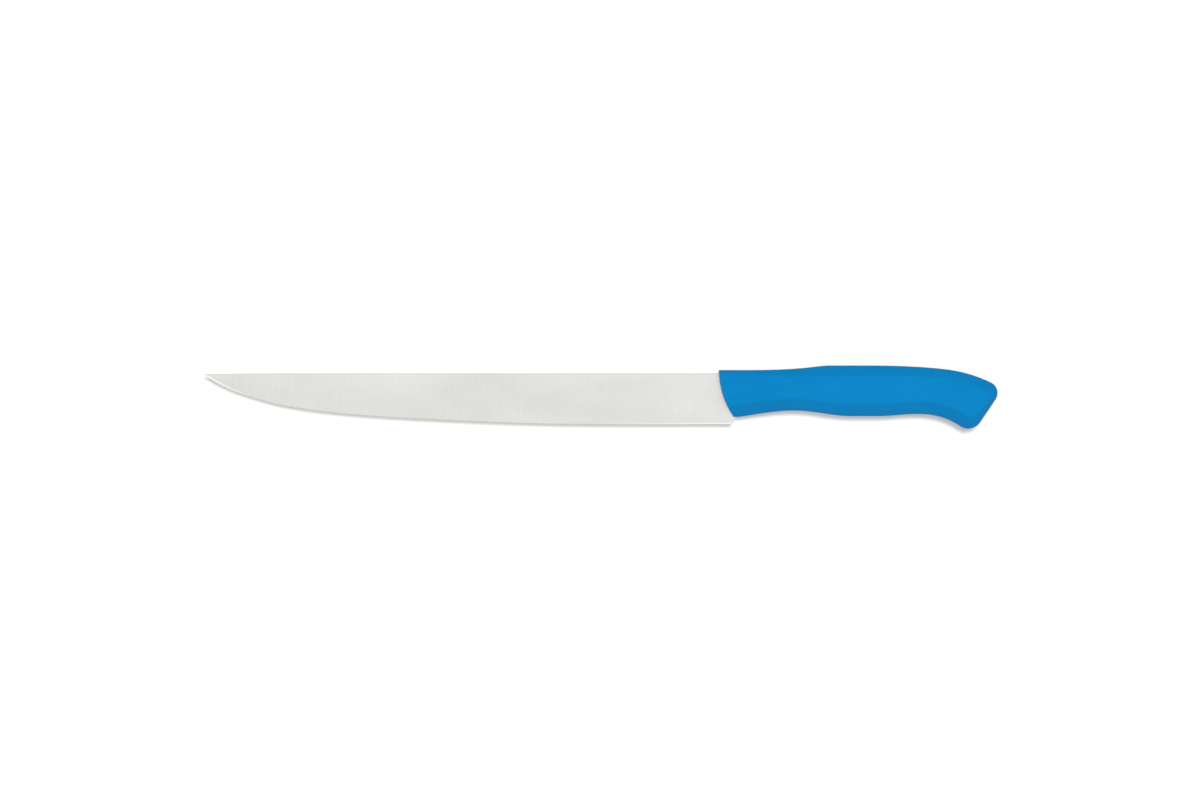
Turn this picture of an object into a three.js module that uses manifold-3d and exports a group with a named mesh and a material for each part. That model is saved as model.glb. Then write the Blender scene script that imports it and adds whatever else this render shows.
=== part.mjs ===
// Fillet knife: a stamped, taper-ground steel blade with a plastic handle moulded over its tang.
// Millimetres. The knife lies on one cheek of its handle: X runs from the tip to the butt, Y from the
// cutting edge to the spine, and Z up. The origin is on the table, under the middle of the knife.
// Both pieces are drawn with x = 0 at the top of the handle's front, y = 0 at the spine and z = 0 in
// the blade's middle plane, and the whole knife is set down on the table at the end.

import * as THREE from "three";
import { mergeVertices } from "three/addons/utils/BufferGeometryUtils.js";
import Module from "manifold-3d";

const wasm = await Module();
wasm.setup();

// Blade
const BLADE_LENGTH = 250; // tip to heel corner
const HEEL_HEIGHT = 24; // spine to edge at the heel
const STRAIGHT_EDGE = 62; // straight stretch of the edge ahead of the heel
const TIP_DROP = 0.4; // the spine falls this far towards the tip
const TIP_DROP_LENGTH = 40; // over this length
const SPINE_AT_TANG = 2.2; // thickness of the steel strip
const SPINE_AT_TIP = 0.8; // thickness left by the taper at the tip
const EDGE_AT_HEEL = 0.42; // thickness behind the sharpened bevel at the heel
const BEVEL_ANGLE = 17; // sharpening angle of each side, in degrees
const EDGE_LAND = 0.06; // thickness of the very edge
const SPINE_CHAMFER = 0.25; // broken corners of the spine
const HEEL_SETBACK = 5.9; // heel corner behind the top of the handle's front
const HEEL_SLANT = 31; // the heel's back edge leans this many degrees towards the butt

// The belly of the edge from the tip to the straight stretch: share of its length, share of its depth.
const BELLY = [
  [0, 0.025],
  [0.0415, 0.216],
  [0.092, 0.383],
  [0.1925, 0.602],
  [0.344, 0.7625],
  [0.545, 0.873],
  [0.8, 0.966],
  [1, 1],
];

// Tang, stamped in one with the blade
const TANG_LENGTH = 95; // end of the tang behind the handle's front
const TANG_TOP = 3.6; // top edge of the tang under the spine
const TANG_COVER = 3.2; // plastic under the tang's lower edge at the finger groove
const TANG_TIP_HEIGHT = 7; // height of the tang at its round end
const TANG_SHOULDER = 3.1; // the tang keeps the blade's full height behind the ground faces for this length
const HEEL_FILLET = 4; // size of the curve between the heel's back edge and the tang
const GRIND_OVERLAP = 3; // the ground faces run out on the tang over this length
const LOCK_HOLES = 3; // punched holes that the plastic flows through
const LOCK_RADIUS = 2.75;
const LOCK_FIRST = 38; // first hole behind the handle's front
const LOCK_LAST = 15; // last hole ahead of the tang's end

// Handle, along its length from the front
const FRONT_TO_GROOVE = 35.8; // deepest point of the finger groove
const GROOVE_TO_PALM = 26.6; // start of the palm swell
const PALM_LENGTH = 12.4; // fullest stretch of the palm swell
const PALM_TO_WAIST = 19.4; // start of the drop to the hook
const WAIST_TO_BUTT = 37.4; // furthest point of the butt
const NECK_LENGTH = 40.3; // the back rises slowly over this length
const NECK_TO_CROWN = 12.9; // and faster over this one
const CROWN_LENGTH = 9.6; // level stretch of the back
const CROWN_TO_FALL = 44; // the back starts to fall over this length

// Handle, heights
const FRONT_LIP = 1.5; // plastic over the spine
const FRONT_HEIGHT = 22.2; // back to belly at the front
const NECK_RISE = 1; // end of the neck above the front
const NECK_SLOPE = 0.094; // slope of the back there
const CROWN_RISE = 2.15; // crown above the front
const FALL_DEPTH = 1.75; // fall of the back at the end of that length
const FALL_SLOPE = 0.116; // its slope there
const GROOVE_DEPTH = 3.1; // groove above the lower front corner
const PALM_SWELL = 2.65; // palm swell below the groove
const WAIST_RISE = 1; // waist above the palm swell

// Handle, butt
const CORNER_RADIUS = 5.6; // top corner of the butt
const CORNER_DROP = 9.4; // its centre under the spine
const BACK_FALL = 26; // the back meets the corner at this angle, in degrees
const BUTT_SLANT = 34; // the butt's flat leans this many degrees
const BUTT_FLAT = 12.9; // length of the butt's flat
const HOOK_RADIUS = 6.65; // round hook under the butt
const HOOK_RISE = 33.8; // the belly leaves the hook at this angle, in degrees

// Handle, across
const HANDLE_THICKNESS = 18; // cheek to cheek at the palm
const FRONT_THICKNESS = 14; // cheek to cheek at the front
const TAPER_START = 27; // the cheeks widen evenly from the front to here
const TAPER_END = 48; // and are flat from here
const FRONT_RADIUS = 39.3; // the front is swept back along this arc
const FRONT_SWEEP_LENGTH = 30; // the sweep has faded out over this length
const BACK_BAND_FRONT = 1.9; // width of the sloping band along the back, at the front
const BACK_BAND = 4.7; // and from the crown to the butt
const BELLY_BAND = 5.8; // width of the band along the belly
const BUTT_BAND = 3; // width of the band along the butt
const BUTT_EASE = 2.2; // the hook's band has narrowed to it this far up the butt's flat
const FRONT_BAND = 0.7; // width of the broken edge round the front
const FRONT_BREAK = 4; // how steeply that edge rolls over, as a power of the way to the cheek
const BAND_ANGLE = 40; // slope of the bands, in degrees
const BUTT_ANGLE = 54; // slope of the butt's band, in degrees
const BACK_ROUND = 0.8; // rounding between the back's band and the side wall
const BELLY_ROUND = 2; // the same along the belly and the butt
const BACK_CREASE = 0.35; // rounding between the back's band and the cheek
const BELLY_CREASE = 0.9; // the same along the belly and the butt
const MOULD_GAP = 0.3; // clearance between the plastic and the steel

// Facets
const BLADE_STATIONS = 40; // along the belly of the edge
const BLADE_CROWDING = 1.5; // how much closer they stand towards the tip
const GRIP_STEPS = 34; // along the handle
const HOOK_STEPS = 6;
const FLAT_STEPS = 6;
const CORNER_STEPS = 5;
const ROUND_STEPS = 3; // across each rounding
const HOLE_STEPS = 12;

const radians = THREE.MathUtils.degToRad;
const { lerp, smoothstep } = THREE.MathUtils;

// Cubic curve y(x) through stations { x, y, slope }. A station without a slope takes its neighbours'.
function through(stations) {
  const slopes = stations.map((station, i) => {
    if (station.slope !== undefined) return station.slope;
    const before = stations[Math.max(i - 1, 0)];
    const after = stations[Math.min(i + 1, stations.length - 1)];
    return (after.y - before.y) / (after.x - before.x);
  });
  return (x) => {
    const last = stations.length - 2;
    const found = stations.findIndex((station) => station.x > x) - 1;
    const i = found < 0 ? last : found;
    const [a, b] = [stations[i], stations[i + 1]];
    const span = b.x - a.x;
    const u = THREE.MathUtils.clamp((x - a.x) / span, 0, 1);
    const rise = u * u * (3 - 2 * u);
    const leave = u * (1 - u) * (1 - u) * span * slopes[i];
    const arrive = u * u * (u - 1) * span * slopes[i + 1];
    return lerp(a.y, b.y, rise) + leave + arrive;
  };
}

// Closed geometry from four-cornered faces, each given counter-clockwise as seen from outside.
function geometryOfQuads(quads) {
  const corners = quads.flatMap(([a, b, c, d]) => [a, b, c, a, c, d]);
  return new THREE.BufferGeometry().setFromPoints(corners);
}

function solidOf(geometry) {
  const bare = geometry.clone();
  bare.deleteAttribute("normal");
  bare.deleteAttribute("uv");
  const welded = mergeVertices(bare);
  const vertProperties = welded.attributes.position.array;
  const triVerts = new Uint32Array(welded.index.array);
  return new wasm.Manifold(new wasm.Mesh({ numProp: 3, vertProperties, triVerts }));
}

function geometryOfSolid(solid) {
  const mesh = solid.getMesh();
  const geometry = new THREE.BufferGeometry();
  geometry.setAttribute("position", new THREE.BufferAttribute(mesh.vertProperties, 3));
  geometry.setIndex(new THREE.BufferAttribute(mesh.triVerts, 1));
  geometry.computeVertexNormals();
  return geometry;
}

const mirrored = (point) => new THREE.Vector3(point.x, point.y, -point.z);

// Loft through half sections that mirror in the middle plane, closed flat at both ends.
function mirroredLoft(halves) {
  const quads = [];
  const ends = [halves[0], halves[halves.length - 1]];
  for (let i = 0; i + 1 < halves.length; i++) {
    const loops = [halves[i], halves[i + 1]].map((half) => [...half, ...half.map(mirrored).reverse()]);
    loops[0].forEach((point, k) => {
      const next = (k + 1) % loops[0].length;
      quads.push([point, loops[1][k], loops[1][next], loops[0][next]]);
    });
  }
  for (let k = 0; k + 1 < ends[0].length; k++) {
    quads.push([ends[0][k], ends[0][k + 1], mirrored(ends[0][k + 1]), mirrored(ends[0][k])]);
    quads.push([mirrored(ends[1][k]), mirrored(ends[1][k + 1]), ends[1][k + 1], ends[1][k]]);
  }
  return geometryOfQuads(quads);
}

// Blade

const tipX = HEEL_SETBACK - BLADE_LENGTH;
const heelLean = Math.tan(radians(HEEL_SLANT));
// Back edge of the heel, carried on up to the spine inside the handle.
const heelLine = (y) => HEEL_SETBACK + (y + HEEL_HEIGHT) * heelLean;

const bellyLength = BLADE_LENGTH - STRAIGHT_EDGE;
const edgeDepth = through([
  ...BELLY.map(([along, deep]) => ({ x: along * bellyLength, y: deep * HEEL_HEIGHT })),
  { x: BLADE_LENGTH, y: HEEL_HEIGHT },
]);
const spineDrop = (along) => TIP_DROP * Math.max(0, 1 - along / TIP_DROP_LENGTH) ** 2;

// Each side is one ground plane: half the thickness falls evenly to the tip and to the edge.
const distalTaper = (SPINE_AT_TANG - SPINE_AT_TIP) / 2 / (heelLine(0) - tipX);
const heelTaper = (heelLine(0) - HEEL_SETBACK) * distalTaper;
const grindTaper = ((SPINE_AT_TANG - EDGE_AT_HEEL) / 2 - heelTaper) / HEEL_HEIGHT;
const halfThickness = ({ x, y }) => SPINE_AT_TANG / 2 - (heelLine(0) - x) * distalTaper + y * grindTaper;

// Half section of the blade at a distance from the tip, made larger all round by grow.
function bladeSection(along, grow) {
  const stretch = (heelLine(0) - tipX) / BLADE_LENGTH;
  const spine = new THREE.Vector2(tipX + along * stretch, -spineDrop(along));
  const edge = new THREE.Vector2(tipX + along, -edgeDepth(along));
  const height = spine.distanceTo(edge);
  const behindEdge = halfThickness(edge) - EDGE_LAND / 2;
  const bevel = Math.min(behindEdge / (Math.tan(radians(BEVEL_ANGLE)) - grindTaper), height / 2);
  const chamfer = Math.min(SPINE_CHAMFER, height / 4);
  const down = edge.clone().sub(spine).normalize();
  const at = (place, half) => new THREE.Vector3(place.x, place.y, half + grow);
  const shoulder = edge.clone().addScaledVector(down, -bevel);
  const corner = spine.clone().addScaledVector(down, chamfer);
  return [
    at(edge.clone().addScaledVector(down, grow), EDGE_LAND / 2),
    at(shoulder, halfThickness(shoulder)),
    at(corner, halfThickness(corner)),
    at(spine.clone().addScaledVector(down, -grow), halfThickness(spine) - chamfer),
  ];
}

// Ground part of the blade, with stations closer together towards the tip.
function bladeGeometry(grow) {
  const places = [];
  for (let i = 0; i <= BLADE_STATIONS; i++) places.push(bellyLength * (i / BLADE_STATIONS) ** BLADE_CROWDING);
  places.push(bellyLength + STRAIGHT_EDGE / 2, BLADE_LENGTH + grow);
  return mirroredLoft(places.map((along) => bladeSection(along, grow)));
}

// The tang keeps clear of the finger groove.
const frontFoot = FRONT_LIP - FRONT_HEIGHT;
const grooveY = frontFoot + GROOVE_DEPTH;

// Flat tang with its lock holes, made larger all round by grow.
function tangGeometry(grow) {
  const endX = TANG_LENGTH + grow;
  const endRadius = TANG_TIP_HEIGHT / 2 + grow;
  const top = grow - TANG_TOP;
  const lowerEdge = grooveY + TANG_COVER;
  const bottom = lowerEdge - grow;
  const middle = (lowerEdge - TANG_TOP) / 2;
  const stepDown = heelLine(0) + TANG_SHOULDER;
  const heelFoot = lowerEdge - HEEL_FILLET;
  const lockPitch = (TANG_LENGTH - LOCK_LAST - LOCK_FIRST) / (LOCK_HOLES - 1);
  const shape = new THREE.Shape();
  shape.moveTo(heelLine(0) - GRIND_OVERLAP - grow, grow);
  shape.lineTo(heelLine(heelFoot) - GRIND_OVERLAP - grow, heelFoot);
  shape.lineTo(heelLine(heelFoot) + grow, heelFoot);
  shape.quadraticCurveTo(heelLine(bottom) + grow, bottom, heelLine(bottom) + HEEL_FILLET, bottom);
  shape.lineTo(endX - endRadius, middle - endRadius);
  shape.absarc(endX - endRadius, middle, endRadius, -Math.PI / 2, Math.PI / 2, false);
  shape.lineTo(stepDown + TANG_TOP + grow, top);
  shape.lineTo(stepDown + grow, grow);
  for (let i = 0; i < LOCK_HOLES; i++) {
    const hole = new THREE.Path();
    hole.absarc(LOCK_FIRST + i * lockPitch, middle, LOCK_RADIUS - grow, 0, 2 * Math.PI, true);
    shape.holes.push(hole);
  }
  const depth = SPINE_AT_TANG + 2 * grow;
  const options = { depth, bevelEnabled: false, curveSegments: HOLE_STEPS };
  return new THREE.ExtrudeGeometry(shape, options).translate(0, 0, -depth / 2);
}

const bladeSolid = (grow) => solidOf(bladeGeometry(grow)).add(solidOf(tangGeometry(grow)));

// Handle

const grooveX = FRONT_TO_GROOVE;
const palmX = grooveX + GROOVE_TO_PALM;
const waistX = palmX + PALM_LENGTH + PALM_TO_WAIST;
const handleLength = waistX + WAIST_TO_BUTT;
const palmY = grooveY - PALM_SWELL;
const crownY = FRONT_LIP + CROWN_RISE;

const polar = (centre, radius, angle) =>
  new THREE.Vector2(centre.x + radius * Math.cos(angle), centre.y + radius * Math.sin(angle));

// Butt: a slanted flat between the round top corner and the round hook.
const buttSteps = HOOK_STEPS + FLAT_STEPS + CORNER_STEPS;
const buttFacing = -radians(BUTT_SLANT);
const cornerStart = Math.PI / 2 - radians(BACK_FALL);
const hookEnd = -Math.PI / 2 - radians(HOOK_RISE);
const cornerCentre = new THREE.Vector2(handleLength - CORNER_RADIUS, -CORNER_DROP);
const hookCentre = polar(
  polar(cornerCentre, CORNER_RADIUS - HOOK_RADIUS, buttFacing),
  BUTT_FLAT,
  buttFacing - Math.PI / 2,
);
const backEnd = polar(cornerCentre, CORNER_RADIUS, cornerStart);
const bellyEnd = polar(hookCentre, HOOK_RADIUS, hookEnd);

const crownX = NECK_LENGTH + NECK_TO_CROWN;
const fallX = crownX + CROWN_LENGTH + CROWN_TO_FALL;
const backY = through([
  { x: 0, y: FRONT_LIP, slope: 0 },
  { x: NECK_LENGTH, y: FRONT_LIP + NECK_RISE, slope: NECK_SLOPE },
  { x: crownX, y: crownY, slope: 0 },
  { x: crownX + CROWN_LENGTH, y: crownY, slope: 0 },
  { x: fallX, y: crownY - FALL_DEPTH, slope: -FALL_SLOPE },
  { x: backEnd.x, y: backEnd.y, slope: -Math.tan(radians(BACK_FALL)) },
]);
const bellyY = through([
  { x: 0, y: frontFoot, slope: 0 },
  { x: grooveX, y: grooveY, slope: 0 },
  { x: palmX, y: palmY, slope: 0 },
  { x: palmX + PALM_LENGTH, y: palmY, slope: 0 },
  { x: waistX, y: palmY + WAIST_RISE, slope: 0 },
  { x: bellyEnd.x, y: bellyEnd.y, slope: -Math.tan(radians(HOOK_RISE)) },
]);

// Half the thickness: a straight taper from the front that eases into the flat cheeks.
function halfWidth(x) {
  const easing = TAPER_END - TAPER_START;
  const straight = Math.max(0, TAPER_START - x);
  const eased = THREE.MathUtils.clamp(TAPER_END - x, 0, easing);
  const share = (straight + eased ** 2 / (2 * easing)) / (TAPER_START + easing / 2);
  return lerp(HANDLE_THICKNESS, FRONT_THICKNESS, share) / 2;
}

// Section of the edge from the middle plane to the cheek: how far inwards, and how far up.
function bandProfile({ width, drop, round, crease }, half) {
  const fall = Math.min(drop, 0.85 * half);
  const wall = half - fall;
  const roundUp = Math.min(round, 0.8 * wall);
  const onBand = Math.min(roundUp / Math.hypot(1, fall / width), width / 2);
  const bandAt = (inset) => [inset, wall + (inset / width) * fall];
  const rounded = (from, corner, to) => {
    const curve = new THREE.QuadraticBezierCurve(...[from, corner, to].map((p) => new THREE.Vector2(...p)));
    return curve.getPoints(ROUND_STEPS).map((p) => [p.x, p.y]);
  };
  return [
    [0, 0],
    ...rounded([0, wall - roundUp], [0, wall], bandAt(onBand)),
    ...rounded(bandAt(width - crease), [width, half], [width + crease, half]),
  ];
}

// One stretch of the outline: a point every step, each with the way inwards, the band and its roundings.
function alongCurve(endX, heightAt, side, bandAt) {
  const points = [];
  for (let i = 0; i <= GRIP_STEPS; i++) {
    const x = (endX * i) / GRIP_STEPS;
    const reach = 0.01;
    const slope = (heightAt(Math.min(x + reach, endX)) - heightAt(Math.max(x - reach, 0))) / (2 * reach);
    const inwards = new THREE.Vector2(-side * slope, side).normalize();
    const band = bandAt(x);
    const rim = new THREE.Vector2(x, heightAt(x));
    points.push({ rim, ...band, inset: inwards.multiplyScalar(band.width + band.crease) });
  }
  return points;
}

// The band that lies a share of the way between two others.
const between = (a, b, share) => ({
  width: lerp(a.width, b.width, share),
  drop: lerp(a.drop, b.drop, share),
  round: lerp(a.round, b.round, share),
  crease: lerp(a.crease, b.crease, share),
});

// Bands of the outline, narrow enough to turn inside the round corner of the butt.
const bellyEdges = { round: BELLY_ROUND, crease: BELLY_CREASE };
const backEdges = { round: BACK_ROUND, crease: BACK_CREASE };
const band = (width, angle, edges) => ({ width, drop: width * Math.tan(radians(angle)), ...edges });
const bellyBand = band(BELLY_BAND, BAND_ANGLE, bellyEdges);
const buttBand = band(Math.min(BUTT_BAND, CORNER_RADIUS - 1.5 * BELLY_CREASE), BUTT_ANGLE, bellyEdges);
const backBand = band(BACK_BAND, BAND_ANGLE, backEdges);
const cornerBand = band(Math.min(BACK_BAND, CORNER_RADIUS - 1.5 * BACK_CREASE), BAND_ANGLE, backEdges);
const neckBand = band(BACK_BAND_FRONT, BAND_ANGLE, backEdges);
const alongBelly = () => bellyBand;
const alongBack = (x) => {
  const towardsCrown = between(neckBand, backBand, smoothstep(x, 0, crownX));
  return between(towardsCrown, cornerBand, smoothstep(x, fallX, backEnd.x));
};

// The butt from the belly's end up to the back's end: hook, flat and corner. Round the hook and up to
// the end of the ease, the cheek ends on a straight line, and the band lies between it and the outline.
function alongButt() {
  const points = [];
  const foot = polar(hookCentre, HOOK_RADIUS, buttFacing);
  const head = polar(cornerCentre, CORNER_RADIUS, buttFacing);
  const hookLength = (buttFacing - hookEnd) * HOOK_RADIUS;
  const square = (facing, { width, crease }) => polar({ x: 0, y: 0 }, -width - crease, facing);
  const lineStart = bellyEnd.clone().add(square(hookEnd, bellyBand));
  const lineEnd = foot.clone().lerp(head, BUTT_EASE / BUTT_FLAT).add(square(buttFacing, buttBand));
  const addNarrowing = (rim, past) => {
    const share = Math.min(1, past / (hookLength + BUTT_EASE));
    const inset = share < 1 ? lineStart.clone().lerp(lineEnd, share).sub(rim) : square(buttFacing, buttBand);
    points.push({ rim, ...between(bellyBand, buttBand, share), width: inset.length() - BELLY_CREASE, inset });
  };
  for (let i = 0; i < HOOK_STEPS; i++) {
    const share = i / HOOK_STEPS;
    addNarrowing(polar(hookCentre, HOOK_RADIUS, lerp(hookEnd, buttFacing, share)), share * hookLength);
  }
  for (let i = 0; i < FLAT_STEPS; i++) {
    const share = i / FLAT_STEPS;
    addNarrowing(foot.clone().lerp(head, share), hookLength + share * BUTT_FLAT);
  }
  for (let i = 0; i <= CORNER_STEPS; i++) {
    const share = i / CORNER_STEPS;
    const facing = lerp(buttFacing, cornerStart, share);
    const widening = between(buttBand, cornerBand, smoothstep(share, 0, 0.7));
    const rim = polar(cornerCentre, CORNER_RADIUS, facing);
    points.push({ rim, ...widening, inset: square(facing, widening) });
  }
  return points;
}

// The front is drawn upright and then swept back along its arc, less and less towards the grip.
function swept(x, y, z) {
  const drop = THREE.MathUtils.clamp(FRONT_LIP - y, 0, FRONT_RADIUS);
  const back = FRONT_RADIUS - Math.sqrt(FRONT_RADIUS ** 2 - drop ** 2);
  const fade = Math.max(0, 1 - x / FRONT_SWEEP_LENGTH) ** 2;
  return new THREE.Vector3(x + back * fade, y, z);
}

// A cheek is a grid over the outline, and its rim is carried down over the bands to the middle plane.
function handleGeometry() {
  const butt = alongButt();
  const belly = alongCurve(bellyEnd.x, bellyY, 1, alongBelly);
  const back = alongCurve(backEnd.x, backY, -1, alongBack);
  belly[GRIP_STEPS] = butt[0];
  back[GRIP_STEPS] = butt[buttSteps];
  const front = [];
  for (let j = 0; j <= buttSteps; j++) {
    const share = j / buttSteps;
    const rim = belly[0].rim.clone().lerp(back[0].rim, share);
    const inset = belly[0].inset.clone().lerp(back[0].inset, share).setX(FRONT_BAND);
    front.push({ rim, ...between(belly[0], back[0], share), inset, power: FRONT_BREAK });
  }
  belly[0] = front[0];
  back[0] = front[buttSteps];
  const inner = ({ rim, inset }) => rim.clone().add(inset);
  const rim = [...belly, ...butt.slice(1, -1), ...back.slice().reverse(), ...front.slice(1, -1).reverse()];

  const levels = rim.map(({ power = 1, ...point }) => {
    const profile = bandProfile(point, halfWidth(inner(point).x));
    return profile.map(([inset, up]) => {
      const share = inset / (point.width + point.crease);
      const x = point.rim.x + point.inset.x * share ** power;
      return swept(x, point.rim.y + point.inset.y * share, up);
    });
  });
  const column = (i) => {
    const ends = [inner(belly[i]), inner(back[i])];
    const places = [];
    for (let j = 0; j <= buttSteps; j++) places.push(ends[0].clone().lerp(ends[1], j / buttSteps));
    return places;
  };
  const grid = [];
  for (let i = 0; i <= GRIP_STEPS; i++) {
    const places = i === GRIP_STEPS ? butt.map(inner) : column(i);
    grid.push(places.map(({ x, y }) => swept(x, y, halfWidth(x))));
  }

  const upper = [];
  levels.forEach((level, i) => {
    const next = levels[(i + 1) % levels.length];
    for (let k = 0; k + 1 < level.length; k++) upper.push([level[k], next[k], next[k + 1], level[k + 1]]);
  });
  for (let i = 0; i < GRIP_STEPS; i++) {
    for (let j = 0; j < buttSteps; j++) {
      upper.push([grid[i][j], grid[i + 1][j], grid[i + 1][j + 1], grid[i][j + 1]]);
    }
  }
  const lower = upper.map((quad) => quad.map(mirrored).reverse());
  return geometryOfQuads([...upper, ...lower]);
}

const handleSolid = solidOf(handleGeometry()).subtract(bladeSolid(MOULD_GAP));

// Assembly

const steel = new THREE.MeshStandardMaterial({ color: 0xdfdedb, roughness: 0.35, metalness: 1 });
const plastic = new THREE.MeshStandardMaterial({ color: 0x1087c9, roughness: 0.5, metalness: 0 });

const blade = new THREE.Mesh(geometryOfSolid(bladeSolid(0)), steel);
blade.name = "blade";
const handle = new THREE.Mesh(geometryOfSolid(handleSolid), plastic);
handle.name = "handle";

const lying = new THREE.Group();
lying.add(blade, handle);
const box = new THREE.Box3().setFromObject(lying);
const middle = box.getCenter(new THREE.Vector3());
lying.position.set(-middle.x, -middle.y, -box.min.z);

const knife = new THREE.Group();
knife.add(lying);

export default knife;
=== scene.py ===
"""Looks of a fillet knife: a taper-ground steel blade, its moulded plastic handle and a plain studio.

The knife lies on one cheek of its handle. X runs from the tip to the butt, Y from the edge to the
spine and Z up. Both pieces are drawn with x = 0 at the top of the handle's front, y = 0 at the spine
and z = 0 in the blade's middle plane, in metres, and are then moved to where the frame holds them.
"""

from typing import NamedTuple

import bpy
import numpy as np
from bpy.props import FloatProperty, FloatVectorProperty, IntProperty, PointerProperty
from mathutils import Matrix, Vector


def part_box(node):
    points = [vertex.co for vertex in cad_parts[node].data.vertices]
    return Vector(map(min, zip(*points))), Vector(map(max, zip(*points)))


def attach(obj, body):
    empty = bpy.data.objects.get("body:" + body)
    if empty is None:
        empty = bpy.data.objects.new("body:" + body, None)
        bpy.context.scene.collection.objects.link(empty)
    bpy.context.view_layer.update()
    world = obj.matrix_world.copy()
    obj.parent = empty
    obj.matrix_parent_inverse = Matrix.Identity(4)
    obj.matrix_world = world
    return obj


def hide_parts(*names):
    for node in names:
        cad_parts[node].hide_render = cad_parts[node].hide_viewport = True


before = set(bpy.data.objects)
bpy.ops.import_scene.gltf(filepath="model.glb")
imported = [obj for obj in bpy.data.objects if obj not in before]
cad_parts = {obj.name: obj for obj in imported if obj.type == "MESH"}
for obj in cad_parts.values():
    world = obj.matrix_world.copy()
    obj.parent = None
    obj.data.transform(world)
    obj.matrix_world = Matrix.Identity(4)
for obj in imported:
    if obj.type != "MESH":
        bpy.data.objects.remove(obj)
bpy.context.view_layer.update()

bl_info = {
    "name": "Fillet knife",
    "version": (1, 0, 0),
    "blender": (4, 5, 0),
    "location": "3D View > Sidebar > Knife",
    "description": "Makes a fillet knife's ground blade and moulded handle, and a studio for them",
    "category": "Object",
}

MM = 0.001
BLADE_LOW, BLADE_HIGH = (np.array(corner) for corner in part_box("blade"))
HANDLE_LOW, HANDLE_HIGH = (np.array(corner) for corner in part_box("handle"))
# The drawing's zero point in the frame: front of the handle, spine, middle plane.
ZERO = np.array((HANDLE_LOW[0], BLADE_HIGH[1], (BLADE_LOW[2] + BLADE_HIGH[2]) / 2))

# Steps along the blade: the belly of the edge and its straight stretch.
BELLY_STEPS = 260
STRAIGHT_STEPS = 40
# Steps up a section of the blade: bevel, ground plane and the spine's corner.
BEVEL_STEPS = 3
PLANE_STEPS = 13
SPINE_STEPS = 5
# Steps round the tang: heel fillet, round end and each lock hole.
FILLET_STEPS = 8
END_STEPS = 24
HOLE_STEPS = 32
# Steps along the grip and round the butt.
GRIP_STEPS = 120
HOOK_STEPS = 28
FLAT_STEPS = 26
CORNER_STEPS = 22
BUTT_STEPS = HOOK_STEPS + FLAT_STEPS + CORNER_STEPS
# Steps across the handle's edge: mould seam, rounding of the wall, band and rounding of the cheek.
SEAM_STEPS = 5
ROUND_STEPS = 9
BAND_STEPS = 5
CREASE_STEPS = 7

# Places of the finishes in the blade's list of materials.
GROUND, HONED, BLANKED = range(3)
# Edges that turn by more than this many degrees are shaded sharp.
SHARP_STEEL = 8
SHARP_PLASTIC = 35
# Nearly all values of a noise texture lie between these two.
NOISE_LOW = 0.3
NOISE_HIGH = 0.7

# The belly of the edge from the tip to its straight stretch: share of its length, share of its depth.
BELLY = (
    (0, 0.025),
    (0.0415, 0.216),
    (0.092, 0.383),
    (0.1925, 0.602),
    (0.344, 0.7625),
    (0.545, 0.873),
    (0.8, 0.966),
    (1, 1),
)


def linear(code):
    """Linear colour of an sRGB hex code: a straight toe, then a power of 2.4."""
    srgb = np.array([int(code[i:i + 2], 16) for i in (1, 3, 5)]) / 255
    return tuple(np.where(srgb <= 0.04045, srgb / 12.92, ((srgb + 0.055) / 1.055) ** 2.4))


def size(name, description, millimetres):
    """A length setting with its default in millimetres."""
    return FloatProperty(
        name=name, description=description, default=millimetres * MM, unit="LENGTH", precision=5
    )


def angle(name, description, degrees):
    """An angle setting with its default in degrees."""
    default = np.radians(degrees)
    return FloatProperty(name=name, description=description, default=default, subtype="ANGLE")


def share(name, description, default):
    """A setting without a unit."""
    return FloatProperty(name=name, description=description, default=default, precision=4)


def colour(name, description, code):
    """A colour setting with its default as an sRGB hex code."""
    default = linear(code)
    return FloatVectorProperty(name=name, description=description, default=default, subtype="COLOR")


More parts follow.
